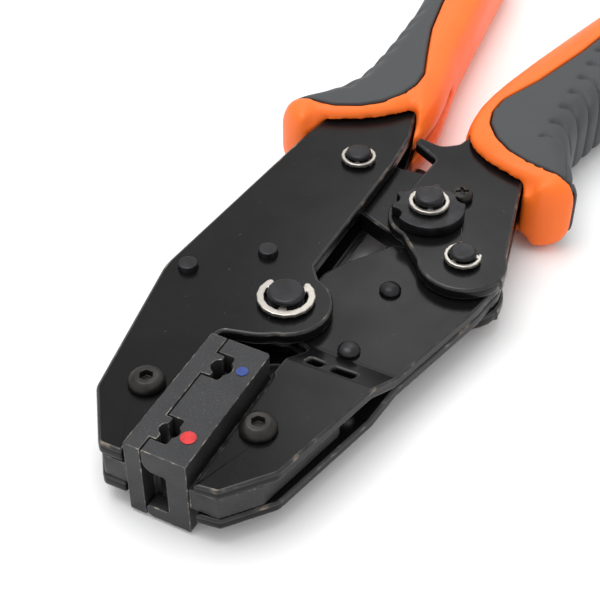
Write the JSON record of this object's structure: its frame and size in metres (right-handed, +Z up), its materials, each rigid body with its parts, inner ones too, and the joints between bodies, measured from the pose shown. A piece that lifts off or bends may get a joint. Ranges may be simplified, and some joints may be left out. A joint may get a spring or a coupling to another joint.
{
  "type": "crimping tool",
  "caption": "Ratchet hand crimping tool with black plate jaws, exchangeable dies, a toggle linkage and two-colour grips, lying on its side, closed.",
  "frame": {"origin": "centre of the footprint at the lowest face", "axes": "+X from the die end towards the grips, +Y towards the fixed jaw, +Z up out of the side the tool lies on"},
  "size_m": [0.2256, 0.0874, 0.022],
  "materials": {
    "black_plate": "gloss",
    "black_screw": "satin",
    "die_steel": "matte",
    "clip_steel": "polished",
    "spring_steel": "satin",
    "orange_grip": "satin",
    "slate_grip": "matte",
    "pin_steel": "satin"
  },
  "bodies": {
    "frame": {"frame_plate_top": "black_plate", "frame_plate_bottom": "black_plate", "frame_post_front": "pin_steel", "frame_post_rear": "pin_steel", "frame_tang_post": "pin_steel", "fixed_die": "die_steel", "fixed_die_screw": "black_screw", "main_pivot_pin": "pin_steel", "main_pivot_clip": "clip_steel", "link_anchor_pin": "pin_steel", "link_anchor_clip": "clip_steel", "return_spring": "spring_steel", "fixed_grip_base": "orange_grip", "fixed_grip_overlay": "slate_grip"},
    "jaw": {"jaw_plate_top": "black_plate", "jaw_plate_bottom": "black_plate", "jaw_rivet_rear": "pin_steel", "jaw_rivet_front": "pin_steel", "moving_die": "die_steel", "moving_die_screw": "black_screw"},
    "handle": {"handle_plate_top": "black_plate", "handle_plate_bottom": "black_plate", "handle_tang_post": "pin_steel", "knee_pin": "pin_steel", "knee_clip": "clip_steel", "adjusting_pin": "pin_steel", "adjusting_clip": "clip_steel", "adjusting_wheel": "pin_steel", "wheel_lock_screw": "black_screw", "pawl_pin": "pin_steel", "pawl_spring_pin": "pin_steel", "pawl_spring": "spring_steel", "moving_grip_base": "orange_grip", "moving_grip_overlay": "slate_grip"},
    "pawl": {"ratchet_pawl": "pin_steel"},
    "link": {"toggle_link": "black_plate"}
  },
  "joints": [
    {"name": "handle_pivot", "type": "hinge", "parent": "jaw", "child": "handle", "pos_m": [-0.03278, -0.01785, 0.01], "axis": [0, 0, 1], "range_deg": [-50.12, 0]},
    {"name": "jaw_pivot", "type": "hinge", "parent": "frame", "child": "jaw", "pos_m": [-0.06168, 0.00995, 0.01], "axis": [0, 0, 1], "range_deg": [0, 12.13]},
    {"name": "link_pivot", "type": "hinge", "parent": "handle", "child": "link", "pos_m": [-0.02178, -0.00515, 0.01], "axis": [0, 0, 1], "range_deg": [0, 63.01], "deforming": ["return_spring"]},
    {"name": "pawl_pivot", "type": "hinge", "parent": "handle", "child": "pawl", "pos_m": [0.00432, -0.01305, 0.01], "axis": [0, 0, 1], "range_deg": [-12, 0], "stiffness_Nm_per_rad": 0.02, "springref_deg": 5.73, "deforming": ["pawl_spring"]}
  ],
  "couplings": [
    {"joint": "jaw_pivot", "follows": "handle_pivot", "ratio": -0.24186},
    {"joint": "link_pivot", "follows": "handle_pivot", "ratio": -1.2569}
  ]
}
